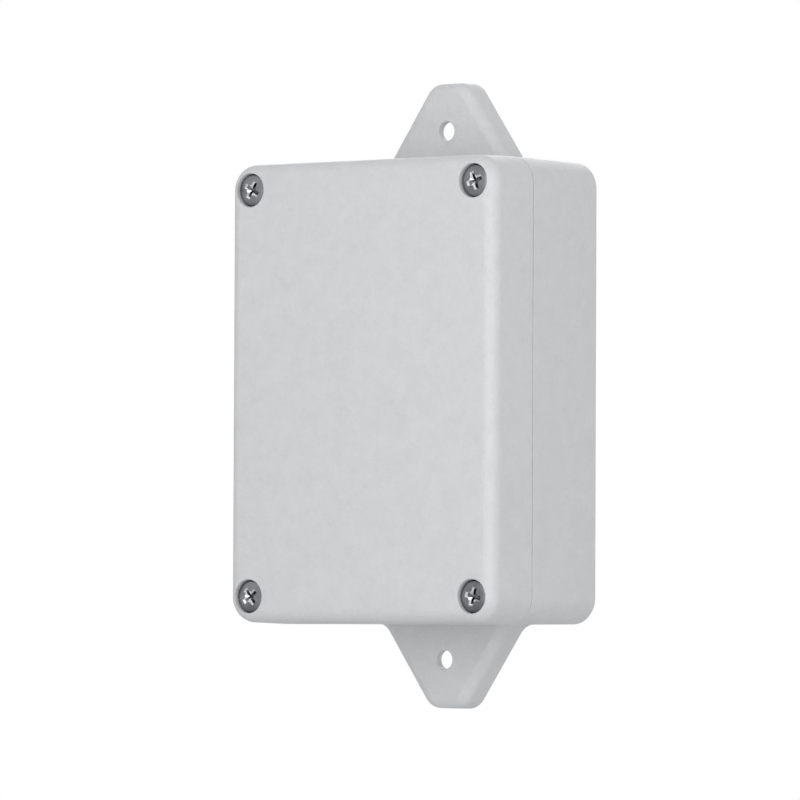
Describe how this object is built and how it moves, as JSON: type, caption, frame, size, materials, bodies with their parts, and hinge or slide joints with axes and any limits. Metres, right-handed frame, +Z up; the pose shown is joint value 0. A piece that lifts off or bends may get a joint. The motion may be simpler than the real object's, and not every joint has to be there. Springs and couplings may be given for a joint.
{
  "type": "relay module",
  "caption": "Wall-mounted relay module: a sealed two-shell plastic case with end lugs, and a relay, power supply and terminals on a circuit board inside.",
  "frame": {"origin": "centre of the case's flat back, midway between the two mounting lugs", "axes": "+Z up along the case towards the upper lug, -Y out of the wall towards the lid, +X to the right seen from the front"},
  "size_m": [0.075, 0.04, 0.1434],
  "materials": {
    "case_plastic": "fine matt light grey ABS",
    "seal_rubber": "black soft rubber",
    "zinc_steel": "zinc-plated steel",
    "brass": "turned brass",
    "board_laminate": "green solder mask on glass-fibre laminate",
    "terminal_plastic": "green moulded plastic",
    "tinned_metal": "tin-plated copper alloy",
    "relay_plastic": "black moulded plastic",
    "relay_cover_plastic": "clear smoky plastic",
    "bobbin_plastic": "cream moulded plastic",
    "copper_wire": "enamelled copper wire",
    "soft_iron": "nickel-plated soft iron",
    "spring_alloy": "copper alloy strip",
    "casting_resin": "dark blue cast resin",
    "fuse_glass": "clear glass",
    "varistor_coating": "blue dipped coating",
    "component_plastic": "black moulded compound",
    "can_aluminium": "aluminium can in a dark sleeve",
    "resistor_coating": "beige lacquer",
    "radio_laminate": "blue solder mask on laminate",
    "led_plastic": "tinted clear plastic",
    "button_plastic": "red moulded plastic"
  },
  "bodies": {
    "module": {"rear_housing": "case_plastic", "brass_inserts": "brass", "cable_grommet": "seal_rubber", "circuit_board": "board_laminate", "board_screws": "zinc_steel", "supply_terminal_housing": "terminal_plastic", "output_terminal_housing": "terminal_plastic", "terminal_pins": "tinned_metal", "relay_base": "relay_plastic", "relay_cover": "relay_cover_plastic", "relay_pins": "tinned_metal", "coil_bobbin": "bobbin_plastic", "coil_winding": "copper_wire", "iron_core": "soft_iron", "iron_yoke": "soft_iron", "normally_open_contact": "spring_alloy", "normally_closed_contact": "spring_alloy", "transformer_casting": "casting_resin", "transformer_core": "soft_iron", "transformer_winding": "copper_wire", "fuse_tube": "fuse_glass", "fuse_caps": "tinned_metal", "fuse_clips": "tinned_metal", "surge_varistor": "varistor_coating", "bridge_rectifier": "component_plastic", "smoothing_capacitor": "can_aluminium", "voltage_regulator": "component_plastic", "driver_transistor": "component_plastic", "freewheel_diode": "component_plastic", "resistors": "resistor_coating", "microcontroller": "component_plastic", "radio_board": "radio_laminate", "radio_header": "component_plastic", "radio_shield": "tinned_metal", "status_led": "led_plastic", "learn_switch_body": "component_plastic"},
    "lid": {"front_lid": "case_plastic", "lid_gasket": "seal_rubber"},
    "armature": {"armature_plate": "soft_iron", "contact_spring": "spring_alloy"},
    "learn_button": {"learn_button": "button_plastic"},
    "lid_screw_1": {"lid_screw_1": "zinc_steel"},
    "lid_screw_2": {"lid_screw_2": "zinc_steel"},
    "lid_screw_3": {"lid_screw_3": "zinc_steel"},
    "lid_screw_4": {"lid_screw_4": "zinc_steel"},
    "terminal_screw_1": {"terminal_screw_1": "zinc_steel"},
    "wire_clamp_1": {"wire_clamp_1": "zinc_steel"},
    "terminal_screw_2": {"terminal_screw_2": "zinc_steel"},
    "wire_clamp_2": {"wire_clamp_2": "zinc_steel"},
    "terminal_screw_3": {"terminal_screw_3": "zinc_steel"},
    "wire_clamp_3": {"wire_clamp_3": "zinc_steel"},
    "terminal_screw_4": {"terminal_screw_4": "zinc_steel"},
    "wire_clamp_4": {"wire_clamp_4": "zinc_steel"},
    "terminal_screw_5": {"terminal_screw_5": "zinc_steel"},
    "wire_clamp_5": {"wire_clamp_5": "zinc_steel"}
  },
  "joints": [
    {"name": "lid_lift", "type": "slide", "parent": "module", "child": "lid", "axis": [0, -1, 0], "range_m": [0, 0.06]},
    {"name": "lid_screw_1_out", "type": "slide", "parent": "lid", "child": "lid_screw_1", "axis": [0, -1, 0], "range_m": [0, 0.009]},
    {"name": "lid_screw_2_out", "type": "slide", "parent": "lid", "child": "lid_screw_2", "axis": [0, -1, 0], "range_m": [0, 0.009]},
    {"name": "lid_screw_3_out", "type": "slide", "parent": "lid", "child": "lid_screw_3", "axis": [0, -1, 0], "range_m": [0, 0.009]},
    {"name": "lid_screw_4_out", "type": "slide", "parent": "lid", "child": "lid_screw_4", "axis": [0, -1, 0], "range_m": [0, 0.009]},
    {"name": "armature_tip", "type": "hinge", "parent": "module", "child": "armature", "pos_m": [0.012, -0.0218, -0.00175], "axis": [1, 0, 0], "range_deg": [0, 3.2], "stiffness_Nm_per_rad": 0.01, "springref_deg": -5.73},
    {"name": "learn_button_press", "type": "slide", "parent": "module", "child": "learn_button", "axis": [0, 1, 0], "range_m": [0, 0.00025], "stiffness_N_per_m": 1000, "springref_m": -0.0005},
    {"name": "terminal_screw_1_turn", "type": "hinge", "parent": "module", "child": "terminal_screw_1", "pos_m": [-0.01904, -0.0186, -0.0276], "axis": [0, -1, 0], "range_deg": [0, 1440]},
    {"name": "wire_clamp_1_lower", "type": "slide", "parent": "module", "child": "wire_clamp_1", "axis": [0, 1, 0], "range_m": [0, 0.002]},
    {"name": "terminal_screw_2_turn", "type": "hinge", "parent": "module", "child": "terminal_screw_2", "pos_m": [-0.01396, -0.0186, -0.0276], "axis": [0, -1, 0], "range_deg": [0, 1440]},
    {"name": "wire_clamp_2_lower", "type": "slide", "parent": "module", "child": "wire_clamp_2", "axis": [0, 1, 0], "range_m": [0, 0.002]},
    {"name": "terminal_screw_3_turn", "type": "hinge", "parent": "module", "child": "terminal_screw_3", "pos_m": [0.00692, -0.0186, -0.0276], "axis": [0, -1, 0], "range_deg": [0, 1440]},
    {"name": "wire_clamp_3_lower", "type": "slide", "parent": "module", "child": "wire_clamp_3", "axis": [0, 1, 0], "range_m": [0, 0.002]},
    {"name": "terminal_screw_4_turn", "type": "hinge", "parent": "module", "child": "terminal_screw_4", "pos_m": [0.012, -0.0186, -0.0276], "axis": [0, -1, 0], "range_deg": [0, 1440]},
    {"name": "wire_clamp_4_lower", "type": "slide", "parent": "module", "child": "wire_clamp_4", "axis": [0, 1, 0], "range_m": [0, 0.002]},
    {"name": "terminal_screw_5_turn", "type": "hinge", "parent": "module", "child": "terminal_screw_5", "pos_m": [0.01708, -0.0186, -0.0276], "axis": [0, -1, 0], "range_deg": [0, 1440]},
    {"name": "wire_clamp_5_lower", "type": "slide", "parent": "module", "child": "wire_clamp_5", "axis": [0, 1, 0], "range_m": [0, 0.002]}
  ],
  "couplings": [
    {"joint": "terminal_screw_1_turn", "follows": "wire_clamp_1_lower", "rad_per_m": 12566},
    {"joint": "terminal_screw_2_turn", "follows": "wire_clamp_2_lower", "rad_per_m": 12566},
    {"joint": "terminal_screw_3_turn", "follows": "wire_clamp_3_lower", "rad_per_m": 12566},
    {"joint": "terminal_screw_4_turn", "follows": "wire_clamp_4_lower", "rad_per_m": 12566},
    {"joint": "terminal_screw_5_turn", "follows": "wire_clamp_5_lower", "rad_per_m": 12566}
  ]
}
